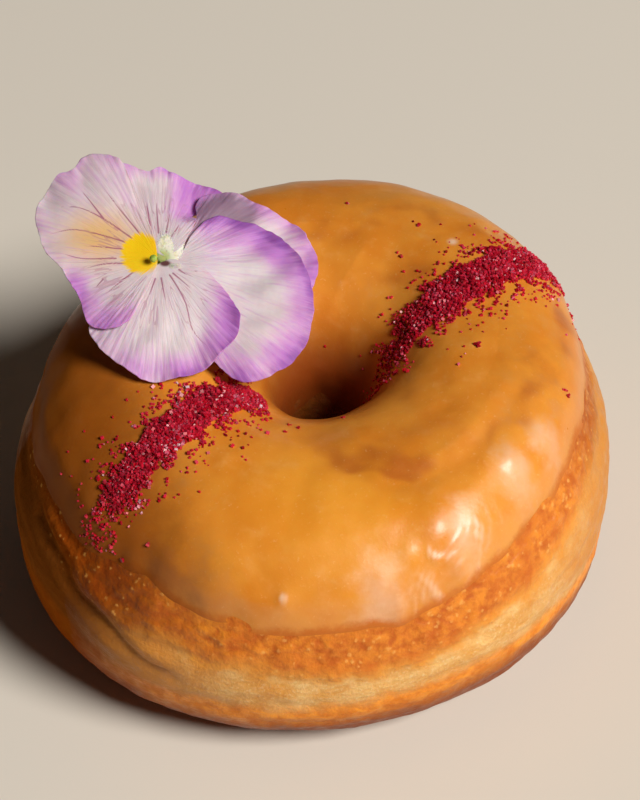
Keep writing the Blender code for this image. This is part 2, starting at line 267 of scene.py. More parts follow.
def swirl_ridges(x, y):
    """0 to 1 on thin curved ridges round one side of the swirl, broken up along their run."""
    away = np.hypot(x - SWIRL_CENTRE[0], y - SWIRL_CENTRE[1])
    turn = np.arctan2(y - SWIRL_CENTRE[1], x - SWIRL_CENTRE[0])
    side = np.cos(turn - SWIRL_SIDE)
    near = (away < SWIRL_RIDGES[-1] + 3) & (side > 0)
    away, turn, side = away[near], turn[near], side[near]
    flat = np.column_stack([x[near], y[near], np.zeros_like(away)])
    wobble = 0.9 * grain(flat, 5.0, 7.3)
    found = np.zeros_like(away)
    for number, ridge in enumerate(SWIRL_RIDGES):
        width = 0.3 + 0.05 * number
        patchy = np.maximum(0.0, 0.55 + 1.4 * grain(flat, 3.0, 11.0 + number))
        ridge_at = bump_at(away - ridge - wobble - 0.3 * np.sin(3 * turn + number), width)
        found = np.maximum(found, patchy * ridge_at * smooth(1.5 * side))
    ridges = np.zeros_like(x)
    ridges[near] = found
    return ridges


def swirl_relief(x, y):
    """The swirl's low middle and its ridges, and the knobs near it."""
    height = SWIRL_MIDDLE_HEIGHT * bump_near(x, y, *SWIRL_CENTRE, SWIRL_MIDDLE_REACH)
    height = height + SWIRL_RIDGE_HEIGHT * swirl_ridges(x, y)
    for at_x, at_y, reach, knob in KNOBS:
        height = height + knob * bump_near(x, y, at_x, at_y, reach)
    return height


def inside_edges(theta, phi):
    """Degrees of the section inwards from the glaze's nearer edge."""
    outer = phi - hem_angle(theta)
    inner = hole_angle(theta) - phi
    return np.degrees(np.minimum(outer, inner))


def glaze_face(theta, phi):
    """The glaze's outer face, which thins out to nothing at its two edges."""
    inwards = inside_edges(theta, phi)
    tucked = -HEM_SINK + (HEM_SINK + HEM_THICKNESS) * inwards / GLAZE_TUCK
    thickening = smooth((inwards - GLAZE_TUCK) / GLAZE_FEATHER)
    cover = HEM_THICKNESS + (GLAZE_THICKNESS - HEM_THICKNESS) * thickening
    cover = np.where(inwards < GLAZE_TUCK, tucked, cover)
    plain = ring_surface(theta, phi, dough_depth(theta, phi) - cover)
    lift = sum(height * grain(plain, size, seed) for height, size, seed in GLAZE_RIPPLES)
    lift = (lift + swirl_relief(plain[:, 0], plain[:, 1])) * smooth(inwards / 6)
    return ring_surface(theta, phi, dough_depth(theta, phi) - cover - lift)


def ring_mesh(section_steps, ring_steps):
    """A plain torus, from a grid that is rolled round the section and round the hole."""
    shape = bmesh.new()
    bmesh.ops.create_grid(shape, x_segments=section_steps, y_segments=ring_steps, size=1)
    for vertex in shape.verts:
        section, turn = (vertex.co.x + 1) * math.pi, (vertex.co.y + 1) * math.pi
        radius = RING_RADIUS * (1 + 0.5 * math.cos(section))
        height = 0.5 * RING_RADIUS * math.sin(section)
        vertex.co = (radius * math.cos(turn), radius * math.sin(turn), height)
    bmesh.ops.remove_doubles(shape, verts=shape.verts, dist=0.001)
    return shape


def places_of(shape):
    return np.array([vertex.co[:] for vertex in shape.verts])


def torus_angles(shape):
    """theta round the hole and the angle round the section, of a plain torus's points."""
    x, y, z = places_of(shape).T
    return np.arctan2(y, x), np.arctan2(z, np.hypot(x, y) - RING_RADIUS)


def move_all(shape, places):
    for vertex, place in zip(shape.verts, places):
        vertex.co = place


def new_object(name, data):
    made = bpy.data.objects.new(name, data)
    bpy.context.scene.collection.objects.link(made)
    return made


def finish_piece(shape, name, finish, outward=True):
    """Makes a piece from a mesh in millimetres, sets it in its place and shades it smooth."""
    if outward:
        bmesh.ops.recalc_face_normals(shape, faces=shape.faces)
    mesh = bpy.data.meshes.new(name)
    shape.to_mesh(mesh)
    shape.free()
    mesh.transform(Matrix.Scale(0.001, 4) @ Matrix.Translation(RING_CENTRE))
    mesh.shade_smooth()
    mesh.materials.append(finish)
    piece = new_object(name, mesh)
    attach(piece, "root")
    return piece


def mark(piece, name, values):
    """Keeps one number for each point of a piece, which its material reads."""
    attribute = piece.data.attributes.new(name, "FLOAT", "POINT")
    attribute.data.foreach_set("value", np.asarray(values, dtype=np.float32))


# Colours and materials
def colour(code):
    """An sRGB hex colour as linear red, green, blue and alpha."""
    shares = [int(code[k:k + 2], 16) / 255 for k in (1, 3, 5)]
    linear = [s / 12.92 if s <= 0.04045 else ((s + 0.055) / 1.055) ** 2.4 for s in shares]
    return (*linear, 1.0)


def per_mm(size):
    """A texture's scale for features of this many millimetres, on coordinates in metres."""
    return 1000 / size


def add(tree, kind, inputs, out=0, **settings):
    """Adds a shader node of a kind with its settings, and gives the output asked for.

    An input is a value or another node's output.
    """
    made = tree.nodes.new("ShaderNode" + kind)
    for key, value in settings.items():
        setattr(made, key, value)
    for socket, value in inputs.items():
        if isinstance(value, bpy.types.NodeSocket):
            tree.links.new(value, made.inputs[socket])
        else:
            made.inputs[socket].default_value = value
    return made.outputs[out]


def start_material(name, **values):
    """A new material and its tree to build on; the values are constants of its shader."""
    made = bpy.data.materials.new(name)
    made.use_nodes = True
    shader = made.node_tree.nodes["Principled BSDF"]
    for key, value in values.items():
        shader.inputs[key.replace("_", " ")].default_value = value
    return made, made.node_tree


def finish_material(made, **outputs):
    """Links outputs of the tree to the shader's inputs of the same names."""
    shader = made.node_tree.nodes["Principled BSDF"]
    for key, output in outputs.items():
        made.node_tree.links.new(output, shader.inputs[key.replace("_", " ")])
    return made


def paint(tree, base, coats):
    """Coats of colour over a base, each as strong as its pattern is far from low to high."""
    for pattern, low, high, strength, code in coats:
        reach = {"Value": pattern, "From Min": low, "From Max": high, "To Max": strength}
        share = add(tree, "MapRange", reach, interpolation_type="SMOOTHSTEP")
        base = add(tree, "Mix", {0: share, 6: base, 7: colour(code)}, 2, data_type="RGBA")
    return base


def break_up(tree, pattern, *noises):
    """A pattern with a ragged border: each noise, from its middle value, shifts it."""
    start = -0.5 * sum(amount for _, amount in noises)
    pattern = add(tree, "Math", {0: pattern, 1: start}, operation="ADD")
    for spots, amount in noises:
        pattern = add(tree, "Math", {0: spots, 1: amount, 2: pattern}, operation="MULTIPLY_ADD")
    return pattern


def make_dough_material():
    """Yeast dough fried in oil: a blistered orange-brown crust and a pale waxy belt."""
    made, tree = start_material("fried yeast dough", IOR=1.4, Subsurface_Weight=0.15,
                                Subsurface_Scale=0.0014, Subsurface_Radius=(1.0, 0.42, 0.12))
    where = add(tree, "TexCoord", {}, "Object")
    wide, lumps, grit = (
        add(tree, "TexNoise",
            {"Vector": where, "Scale": per_mm(size), "Detail": 3.0, "Roughness": 0.55})
        for size in (5.0, 1.9, 0.5))
    # The belt's wrinkles are longer round it than they are high
    drawn_out = add(tree, "Mapping", {"Vector": where, "Scale": (0.5, 0.5, 1.5)})
    wrinkle = add(tree, "TexNoise",
                  {"Vector": drawn_out, "Scale": per_mm(2.6), "Detail": 4.0, "Roughness": 0.55})
    blister = add(tree, "TexVoronoi",
                  {"Vector": where, "Scale": per_mm(1.4), "Smoothness": 0.5}, feature="SMOOTH_F1")
    above, below, painted_side_shade, seam, painted_hole_shade = (
        add(tree, "Attribute", {}, "Fac", attribute_name=name)
        for name in ("above_belt", "below_belt", "painted_side_shade", "seam", "painted_hole_shade"))
    crust_edge = break_up(tree, above, (wide, 4.6), (lumps, 3.6), (grit, 1.2))
    foot_edge = break_up(tree, below, (wide, 3.2), (lumps, 2.6), (grit, 1.0))
    belt = paint(tree, colour("#D99B4E"), (
        (wrinkle, 0.3, 0.7, 1.0, "#EDC07A"), (wide, 0.4, 0.75, 0.8, "#DE9C46"),
        # Pale tops of the lumps: painted glints of the belt's waxy sheen
        (lumps, 0.58, 0.8, 0.45, "#F2D096"), (grit, 0.52, 0.72, 0.4, "#F6DEAC"),
        (grit, 0.46, 0.3, 0.35, "#C98A42"),
        # Painted shade darkens the left and right sides, in the belt as in the crust and foot
        (break_up(tree, painted_side_shade, (wide, 0.8), (wrinkle, 0.6)), 0.2, 0.9, 0.9, "#CF8432"),
        # The second coat of painted side shade, then painted shade in the seam's crease
        (painted_side_shade, 0.9, 1.5, 0.9, "#7C3E10"), (seam, 0.1, 0.9, 0.4, "#9C5B22")))
    bumpy = break_up(tree, blister, (grit, -0.5), (wide, 0.6))
    crust = paint(tree, colour("#BE5C10"), (
        (lumps, 0.3, 0.68, 1.0, "#E68B2A"), (wide, 0.38, 0.8, 0.8, "#CA6818"),
        # Towards the belt the crust is thinner and more golden
        (crust_edge, 3.6, 0.2, 0.7, "#E8A040"),
        # Painted shade on the left and right sides
        (painted_side_shade, 0.6, 1.3, 0.85, "#84380A"),
        # Golden blisters, then painted shade down in the hole
        (bumpy, 0.28, 0.06, 0.5, "#F0B05A"), (painted_hole_shade, 0.2, 0.9, 0.9, "#6E3410")))
    foot = paint(tree, colour("#DA7A18"), (
        (lumps, 0.32, 0.68, 1.0, "#FA9E2C"), (wide, 0.45, 0.8, 0.6, "#E27E1A"),
        # Painted shade on the left and right sides
        (painted_side_shade, 0.8, 1.5, 0.85, "#8E400E"),
        (foot_edge, 1.5, 8.0, 1.0, "#8E420C")))
    crusty, footed = (
        add(tree, "MapRange", {"Value": edge, "From Min": -reach, "From Max": reach},
            interpolation_type="SMOOTHSTEP")
        for edge, reach in ((crust_edge, 1.2), (foot_edge, 1.8)))
    base = belt
    for share, coat in ((crusty, crust), (footed, foot)):
        base = add(tree, "Mix", {0: share, 6: base, 7: coat}, 2, data_type="RGBA")
    # Oil stays on the lumps, which shine more than what lies between them
    shine = add(tree, "MapRange",
                {"Value": lumps, "From Min": 0.35, "From Max": 0.7, "To Min": 0.62, "To Max": 0.3})
    # Where shade is painted on the sides, the specular is turned down as well
    gloss = add(tree, "MapRange",
                {"Value": painted_side_shade, "From Min": 0.8, "From Max": 1.5, "To Min": 0.5, "To Max": 0.0})
    folds = break_up(tree, wrinkle, (lumps, 0.5), (grit, 0.4))
    crags = break_up(tree, lumps, (blister, -0.5), (grit, 0.35))
    height = add(tree, "Mix", {0: crusty, 2: folds, 3: crags}, data_type="FLOAT")
    relief = add(tree, "Bump", {"Height": height, "Distance": 0.0005, "Strength": 0.6})
    return finish_material(made, Base_Color=base, Roughness=shine, Specular_IOR_Level=gloss,
                           Normal=relief)


def make_glaze_material():
    """Caramel sugar glaze, poured and set: satin, its cloudy sheen partly a painted highlight, thin
    over the crust.
    """
    made, tree = start_material("set caramel glaze", IOR=1.38, Subsurface_Weight=0.2,
                                Subsurface_Scale=0.0014, Subsurface_Radius=(1.0, 0.42, 0.12),
                                Coat_Weight=0.1, Coat_Roughness=0.16)
    where = add(tree, "TexCoord", {}, "Object")
    wide, medium, speck = (
        add(tree, "TexNoise",
            {"Vector": where, "Scale": per_mm(size), "Detail": 3.0, "Roughness": 0.6})
        for size in (13.0, 3.4, 0.55))
    painted_sheen, thin, stain_and_shade, golden_and_painted_light, painted_glaze_shade, edge, painted_hole_shade = (
        add(tree, "Attribute", {}, "Fac", attribute_name=name)
        for name in ("painted_sheen", "thin", "stain_and_shade", "golden_and_painted_light", "painted_glaze_shade", "edge", "painted_hole_shade"))
    frayed = break_up(tree, edge, (medium, 1.0), (speck, 0.35))
    base = paint(tree, colour("#D98226"), (
        (wide, 0.32, 0.68, 1.0, "#E69736"), (medium, 0.5, 0.78, 0.3, "#EDAC5C"),
        # Painted highlights of pale sheen
        (break_up(tree, painted_sheen, (medium, 0.7)), 0.1, 0.95, 0.68, "#F8DAC0"),
        (break_up(tree, thin, (medium, 1.4), (wide, 1.2)), 0.2, 1.15, 0.38, "#E0985A"),
        # Thick golden glaze on the front bulge, partly painted light
        (golden_and_painted_light, 0.0, 1.0, 0.42, "#F6A62E"),
        # Thin redder glaze in streaks, partly painted shade in the valley and towards the hole
        (break_up(tree, stain_and_shade, (medium, 0.4)), 0.05, 1.0, 0.66, "#A8501F"),
        # Specks of undissolved sugar, and the crust's brown that shows through the thin edge
        (speck, 0.6, 0.75, 0.16, "#F8D29A"), (frayed, 0.25, 0.95, 1.0, "#CB6C1C"),
        # Painted shade on the left, and a little on the right and back
        (break_up(tree, painted_glaze_shade, (medium, 0.4), (wide, 0.5)), 0.1, 0.95, 0.85, "#8E4812"),
        # Painted shade down in the hole
        (painted_hole_shade, 0.0, 1.0, 0.96, "#7C3410")))
    satin = break_up(tree, 0.36, (medium, 0.3), (wide, 0.15))
    shine = add(tree, "Math", {0: edge, 1: 0.16, 2: satin}, operation="MULTIPLY_ADD")
    # Where shade is painted, the specular is turned down as well
    gloss = add(tree, "MapRange", {"Value": painted_glaze_shade, "From Min": 0.45, "From Max": 0.95,
                                   "To Min": 0.5, "To Max": 0.0})
    height = break_up(tree, 0.5, (medium, 0.6), (speck, 0.4))
    relief = add(tree, "Bump", {"Height": height, "Distance": 0.00009, "Strength": 0.7})
    return finish_material(made, Base_Color=base, Roughness=shine, Specular_IOR_Level=gloss,
                           Normal=relief)


def make_sugar_material():
    """Crimson sanding sugar: clear coloured crystals, lit from within, whose faces glint."""
    made, tree = start_material("crimson sanding sugar", Roughness=0.34, IOR=1.45,
                                Subsurface_Weight=0.7, Subsurface_Scale=0.0008,
                                Subsurface_Radius=(1.0, 0.25, 0.35))
    tint_and_sparkle = add(tree, "Attribute", {}, "Fac", attribute_name="tint_and_sparkle")
    base = paint(tree, colour("#6E0618"), (
        (tint_and_sparkle, 0.0, 0.4, 1.0, "#BC0C24"), (tint_and_sparkle, 0.4, 0.8, 1.0, "#D82440"),
        # The palest tint, on a few crystals, is a painted sparkle
        (tint_and_sparkle, 0.88, 1.0, 1.0, "#EC607A"), (tint_and_sparkle, 1.02, 1.05, 1.0, "#F2C4CC")))
    return finish_material(made, Base_Color=base)


def make_petal_material():
    """Viola petal: thin velvety skin, white to lilac, with veins that spread from the throat."""
    made, tree = start_material("viola petal skin", Roughness=0.6, IOR=1.4,
                                Subsurface_Weight=0.3, Subsurface_Scale=0.0008,
                                Sheen_Weight=0.12, Sheen_Roughness=0.4)
    where = add(tree, "TexCoord", {}, "Object")
    spread = add(tree, "UVMap", {}, uv_map="spread")
    streak = add(tree, "TexNoise",
                 {"Vector": spread, "Scale": 1.0, "Detail": 4.0, "Roughness": 0.65})
    cloud = add(tree, "TexNoise",
                {"Vector": where, "Scale": per_mm(4.5), "Detail": 3.0, "Roughness": 0.6})
    # Fine side veins lie about 1.3 mm apart, on the middle value of a drawn out noise
    drawn_out = add(tree, "Mapping", {"Vector": spread, "Scale": (0.35, 0.9, 1.0)})
    branches = add(tree, "TexNoise", {"Vector": drawn_out, "Scale": 1.0, "Detail": 1.0})
    middle = add(tree, "Math", {0: branches, 1: 0.5, 2: 0.016}, operation="COMPARE")
    lilac, deep, vein, veined, eye, peach, shade, painted_throat_shade = (
        add(tree, "Attribute", {}, "Fac", attribute_name=name)
        for name in ("lilac", "deep", "vein", "veined", "eye", "peach", "shade", "painted_throat_shade"))
    side_vein = add(tree, "Math", {0: middle, 1: veined}, operation="MULTIPLY")
    edge = break_up(tree, lilac, (streak, 0.9), (cloud, 0.7))
    # Painted shade on a patch of the back left petal that lies in shadow
    painted_petal_shade = break_up(tree, shade, (streak, 0.7), (cloud, 0.5))
    base = paint(tree, colour("#D2C1C8"), (
        (cloud, 0.3, 0.7, 1.0, "#E3D5D8"), (peach, 0.0, 0.9, 0.95, "#E3B676"),
        (streak, 0.5, 0.75, 0.4, "#C79CC8"), (edge, -0.05, 0.68, 0.9, "#CE98CE"),
        (edge, 0.42, 1.05, 0.85, "#B56DC4"),
        (break_up(tree, deep, (streak, 0.9)), 0.3, 0.9, 0.75, "#83419E"),
        (painted_petal_shade, 0.1, 0.6, 0.9, "#866C80"),
        (side_vein, 0.0, 1.0, 0.42, "#A66488"), (vein, 0.05, 0.8, 0.8, "#97476C"),
        (break_up(tree, eye, (streak, 0.9)), 0.4, 0.62, 1.0, "#FFCA00"),
        # Painted shade in the throat's opening
        (painted_throat_shade, 0.2, 0.8, 0.95, "#561418")))
    relief = add(tree, "Bump", {"Height": streak, "Distance": 0.00016, "Strength": 0.7})
    return finish_material(made, Base_Color=base, Normal=relief)


def make_green_material():
    """Fresh green plant skin, matt, with a fine mottling."""
    made, tree = start_material("viola green skin", Roughness=0.5, IOR=1.4,
                                Subsurface_Weight=0.15, Subsurface_Scale=0.0006)
    where = add(tree, "TexCoord", {}, "Object")
    spots = add(tree, "TexNoise", {"Vector": where, "Scale": per_mm(0.6)})
    base = paint(tree, colour("#7C9A2E"), ((spots, 0.3, 0.7, 1.0, "#B2C654"),))
    relief = add(tree, "Bump", {"Height": spots, "Distance": 0.00005})
    return finish_material(made, Base_Color=base, Normal=relief)


def make_down_material():
    """The white down in the throat, green towards the stigma and a little yellow elsewhere."""
    made, tree = start_material("viola throat down", Roughness=0.8,
                                Subsurface_Weight=0.3, Subsurface_Scale=0.0005)
    where = add(tree, "TexCoord", {}, "Object")
    spots = add(tree, "TexNoise", {"Vector": where, "Scale": per_mm(0.9)})
    near = add(tree, "Attribute", {}, "Fac", attribute_name="near_stigma")
    base = paint(tree, colour("#EDE9DC"), (
        (spots, 0.45, 0.8, 0.8, "#E3DFA8"), (near, 0.1, 0.9, 0.9, "#A9B860")))
    return finish_material(made, Base_Color=base)


# Dough: the relief of its belt and crust, in millimetres
BELT_SWELL = 0.35
CRUST_STEP = 0.18
FOLD_HEIGHT, FOLD_SIZE = 0.22, 3.0
# Lumps: height, size and seed
CRUST_LUMPS = ((0.3, 3.2, 2.0), (0.18, 1.5, 5.0))
# The crust reaches further down at the front left: how far, where and over how many degrees
CRUST_DROP, CRUST_DROP_AT, CRUST_DROP_REACH = 3.2, 226, 14
# The bottom roll is browner at the right
FOOT_BROWNER, FOOT_BROWNER_AT, FOOT_BROWNER_REACH = 1.6, -38, 30
# Sides with painted shade, where it is all darker: which way, over how many degrees and how strongly
PAINTED_SHADE_SIDES = ((-8, 40, 0.95), (206, 44, 1.7))
# The seam at the front left: where it comes in and fades, and over how many degrees
SEAM_IN, SEAM_IN_OVER, SEAM_OUT, SEAM_OUT_OVER = 200, 14, 238, 16
# Its height over the floor at a middle place, and its fall per degree, up to an end
SEAM_HEIGHT, SEAM_MIDDLE, SEAM_FALL, SEAM_FALL_END = 26.8, 218, 0.33, 244
SEAM_CREASE = 0.22
# The groove and the rolls along it: height over the seam, reach and lift
SEAM_BANDS = ((-0.5, 1.7, -0.25), (2.2, 1.8, 0.5), (-3.8, 2.2, 0.4))


def seam_lines(theta, places, outside):
    """How strong the seam is at each place, how high the place lies over it, and its crease."""
    degrees = np.degrees(theta) % 360
    along = smooth((degrees - SEAM_IN) / SEAM_IN_OVER)
    along = along * (1 - smooth((degrees - SEAM_OUT) / SEAM_OUT_OVER)) * outside
    height = SEAM_HEIGHT - SEAM_FALL * (np.minimum(degrees, SEAM_FALL_END) - SEAM_MIDDLE)
    over = places[:, 2] - height - 1.1 * grain(places, 8.0, 9.0) + 0.35 * grain(places, 2.4, 13.0)
    uneven = np.maximum(0.0, 1 + 1.1 * grain(places, 4.0, 6.0))
    return along, over, along * uneven * bump_at(over + 0.2, 0.42)


def facing(theta, degrees, reach):
    """1 on the side of the ring that faces some way, falling off over an angle in degrees."""
    away = np.mod(np.degrees(theta) - degrees + 180, 360) - 180
    return bump_at(away, reach)


def make_dough(finish):
    """The ring of dough: the crust above, the pale belt with its seam, and the browned foot."""
    shape = ring_mesh(DOUGH_SECTION_STEPS, DOUGH_RING_STEPS)
    theta, phi = torus_angles(shape)
    phi = np.radians(np.interp(np.degrees(phi), (-180, -130, 130, 180), (-180, *DOUGH_SHOWN, 180)))
    depth = dough_depth(theta, phi)
    rough = ring_surface(theta, phi, depth)
    # 1 on the outer side of the ring and 0 in its hole
    outside = smooth((np.hypot(rough[:, 0], rough[:, 1]) - 30) / 6)
    above = rough[:, 2] - PALE_TOP - waves(theta, PALE_TOP_WAVES)
    above = above + CRUST_DROP * facing(theta, CRUST_DROP_AT, CRUST_DROP_REACH)
    below = PALE_FOOT + waves(theta, PALE_FOOT_WAVES) - rough[:, 2]
    # The relief dies out under the glaze and towards the floor
    bare = smooth((hem_angle(theta) - unwrap(phi)) / 0.08)
    bare = np.where(unwrap(phi) > math.pi / 2, 1.0, bare)
    clear_of_floor = smooth(rough[:, 2] / 4)
    # The belt swells a little between its edges, and the crust stands proud along its top
    middle = np.minimum(-above, -below)
    lift = BELT_SWELL * smooth(middle / 4) * outside + CRUST_STEP * smooth(above / 1.2)
    craggy = 0.45 + 0.55 * smooth(above / 2)
    lift = lift + craggy * sum(height * grain(rough, size, seed)
                               for height, size, seed in CRUST_LUMPS)
    # Long soft folds run round the belt
    drawn_out = rough * np.array((0.35, 0.35, 1.6))
    folds = FOLD_HEIGHT * grain(drawn_out, FOLD_SIZE, 7.7)
    lift = lift + (1 - smooth(above / 1.5)) * outside * folds
    # A seam with an overhanging lip runs along the front left
    along, from_seam, crease = seam_lines(theta, rough, outside)
    lift = lift - SEAM_CREASE * crease
    for over, reach, rise in SEAM_BANDS:
        lift = lift + rise * along * bump_at(from_seam - over, reach)
    lift = lift * bare * clear_of_floor
    places = ring_surface(theta, phi, depth - lift)
    move_all(shape, places)
    piece = finish_piece(shape, "dough", finish)
    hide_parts("doughnut")
    mark(piece, "above_belt", np.where(outside > 0.5, above, 6.0))
    browner = FOOT_BROWNER * facing(theta, FOOT_BROWNER_AT, FOOT_BROWNER_REACH)
    mark(piece, "below_belt", below + browner * smooth(below / 3))
    # Painted shade down in the hole
    mark(piece, "painted_hole_shade", 1 - outside)
    # Painted shade in the seam's crease and along it
    mark(piece, "seam", np.minimum(1.0, crease + 0.35 * along * bump_at(from_seam + 0.4, 1.4)))
    # Painted shade on the left and right sides of the dough
    sides = [strength * facing(theta, at, reach) for at, reach, strength in PAINTED_SHADE_SIDES]
    mark(piece, "painted_side_shade", np.max(sides, axis=0))
    return piece


# Glaze: streaks where it lies thin and redder, partly painted shade in the valley and towards the
# hole, as points, half width and strength
STAINS = (
    (((4.6, -27.4), (6.8, -28.8), (9.4, -29.6), (12.0, -29.4)), 1.9, 0.8),
    (((2.0, -24.5), (7.0, -26.6), (13.0, -27.0)), 3.8, 0.72),
    (((24.8, -23.0), (27.0, -19.0), (29.6, -14.6)), 1.9, 0.5),
    (((8.0, -20.0), (14.0, -21.5), (19.0, -19.5)), 4.5, 0.3),
    (((7.8, 13.5), (11.5, 15.5), (15.0, 14.2)), 2.6, 0.5),
    (((-6.0, 22.5), (-1.0, 24.5), (4.5, 24.0), (9.0, 26.0)), 2.4, 0.45),
    (((10.0, 31.0), (17.0, 29.5), (23.0, 25.0)), 2.8, 0.42),
    (((37.0, -1.5), (38.0, 3.5), (36.5, 8.5)), 2.2, 0.6),
    (((28.5, -17.0), (32.0, -12.0), (33.0, -7.5)), 2.4, 0.55),
    (((-12.0, -13.0), (-7.0, -15.5), (-3.0, -14.5)), 1.8, 0.4),
    (((-3.0, -13.0), (5.0, -14.5), (12.5, -12.5)), 3.4, 0.45),
)
# Painted highlights, cloudy patches of sheen and two white glints: x, y, reach, strength
PAINTED_SHEENS = (
    (8.5, -45.0, 5.0, 0.6), (20.0, -36.5, 4.5, 0.6), (28.5, -27.0, 4.0, 0.6),
    (33.0, -20.0, 3.5, 0.6), (20.9, 21.1, 1.0, 0.8), (-5.7, -46.0, 0.6, 1.0),
)


def make_glaze(finish):
    """The poured coat, with its outer face and its hidden underside in one closed skin."""
    shape = ring_mesh(GLAZE_SECTION_STEPS, GLAZE_RING_STEPS)
    theta, turn = torus_angles(shape)
    turn = np.mod(turn, TAU) / TAU
    under = turn > 1 - UNDERSIDE_SHARE
    share = np.where(under, (1 - turn) / UNDERSIDE_SHARE, turn / (1 - UNDERSIDE_SHARE))
    start, end = hem_angle(theta), hole_angle(theta)
    phi = start + (end - start) * share
    face = glaze_face(theta, phi)
    below = ring_surface(theta, phi, dough_depth(theta, phi) + 0.12)
    places = np.where(under[:, None], below, face)
    move_all(shape, places)
    piece = finish_piece(shape, "glaze_coat", finish)
    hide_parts("glaze")
    x, y = face[:, 0], face[:, 1]
    inwards = inside_edges(theta, phi)
    outer = phi < math.pi / 2
    mark(piece, "edge", (1 - smooth((inwards - 0.5) / 10)) * outer)
    mark(piece, "thin", (1 - smooth((inwards - 6) / 30)) * outer)
    # Painted shade: down in the hole the glaze is darker
    mark(piece, "painted_hole_shade", smooth((np.degrees(phi) - 118) / 48))
    # Painted shade along the valley
    stain_and_shade = 0.34 * near_line(x, y, open_curve(VALLEY, 30), 3.0, taper=0.5)
    # The streaks are drawn out of shape and patchy, as the glaze ran
    at_u = x + 2.6 * grain(face, 5.0, 21.0)
    at_v = y + 2.6 * grain(face, 5.0, 27.0)
    patchy = np.clip(1.0 + 1.0 * grain(face, 4.2, 33.0), 0.5, 1.3)
    for line, width, strength in STAINS:
        streak = strength * near_line(at_u, at_v, open_curve(line), width)
        stain_and_shade = np.maximum(stain_and_shade, patchy * streak)
    mark(piece, "stain_and_shade", stain_and_shade)
    # Painted shade: the glaze is darker and browner on its left, and a little on the right and at the
    # back
    left = smooth((-x - 0.25 * y - 16) / 26)
    sides = 0.3 * np.maximum(facing(theta, -10, 35), facing(theta, 95, 45))
    mark(piece, "painted_glaze_shade", np.maximum(left, sides) * outer)
    # The poured bulge at the front is thick and golden, and its colour is also lightened there as
    # painted light
    mark(piece, "golden_and_painted_light", bump_at(np.hypot((x - 1.0) / 1.5, y + 33.0), 11.0))
    # Painted highlights along the swirl's ridges and in the listed patches
    painted_sheen = 0.75 * swirl_ridges(x, y)
    for at_x, at_y, reach, strength in PAINTED_SHEENS:
        painted_sheen = np.maximum(painted_sheen, strength * bump_near(x, y, at_x, at_y, reach))
    mark(piece, "painted_sheen", painted_sheen)
    return piece


# Sugar
STROKES = (
    # x, y, half width and density along the left stroke, from the edge to the hole
    ((-36.0, -34.6, 4.0, 0.08), (-32.2, -32.2, 4.0, 0.18), (-30.2, -29.6, 4.2, 0.65),
     (-28.0, -27.0, 4.3, 1.0), (-24.0, -22.6, 4.7, 1.0), (-19.6, -16.8, 5.0, 1.0),
     (-15.2, -11.8, 5.4, 1.0), (-8.8, -10.0, 3.2, 0.9)),
    # and along the right stroke, from the hole to the edge
    ((8.4, -4.6, 4.0, 0.1), (10.0, -0.8, 5.0, 0.22), (12.4, 2.8, 5.0, 0.7),
     (16.6, 5.9, 5.2, 1.0), (22.8, 10.0, 6.0, 1.0), (29.0, 14.8, 6.4, 1.0),
     (34.6, 19.0, 6.2, 0.95), (38.4, 22.0, 5.6, 0.75)),
)
CRYSTALS_PER_STROKE = 7000
CRYSTAL_SIZES = (0.24, 0.48)
# How wide they fall, as a share of a stroke's half width, and how many are flung further
STROKE_SPREAD = 0.48
FLUNG_SHARE, FLUNG_REACH = 0.07, 2.2
# Single crystals away from the strokes, by their places in plan
STRAYS = (
    (15.4, 25.6), (23.7, -4.2), (23.9, -4.6), (24.1, -3.9), (37.2, -10.0), (37.6, -10.6),
    (4.1, 31.8), (24.2, 18.5), (27.4, 21.4), (-4.9, -15.8), (-5.8, -18.5), (-3.5, -16.6),
    (3.2, -14.4), (-33.1, -21.0), (-16.5, -22.7), (-39.9, -30.0), (-39.5, -30.4), (-34.2, -34.6),
    (-20.1, -28.0), (-24.0, -32.2), (-25.7, -37.6),
)
PALE_STRAYS = ((21.8, -6.0), (20.7, -8.2), (-31.6, -34.3))


def crystal_places(draw):
    """Plan places, heap heights and tints of the crystals along both strokes."""
    found = []
    for stroke in STROKES:
        legs = [math.dist(a[:2], b[:2]) for a, b in zip(stroke, stroke[1:])]
        for _ in range(CRYSTALS_PER_STROKE):
            leg = draw.choices(range(len(legs)), weights=legs)[0]
            share = draw.random()
            x, y, half, density = (a + (b - a) * share for a, b in zip(stroke[leg], stroke[leg + 1]))
            across = draw.gauss(0, STROKE_SPREAD)
            if draw.random() > density:
                continue
            if draw.random() < FLUNG_SHARE:
                across *= FLUNG_REACH
            run = Vector(stroke[leg + 1][:2]) - Vector(stroke[leg][:2])
            side = Vector((-run.y, run.x)).normalized() * across * half
            x, y = x + side.x, y + side.y
            lumpy = 0.5 + 0.5 * noise.noise(Vector((x, y, 4.2)) / 2.2)
            if abs(across) > 0.6 and lumpy < 0.45:
                continue
            heap = max(0.0, 1 - across ** 2) * density * (0.25 + 1.0 * lumpy)
            patch = 0.5 + 0.5 * noise.noise(Vector((x, y, 9.7)) / 3.4)
            found.append((x, y, heap * draw.random(), 0.8 * draw.random() + 0.45 * patch - 0.06))
    return found


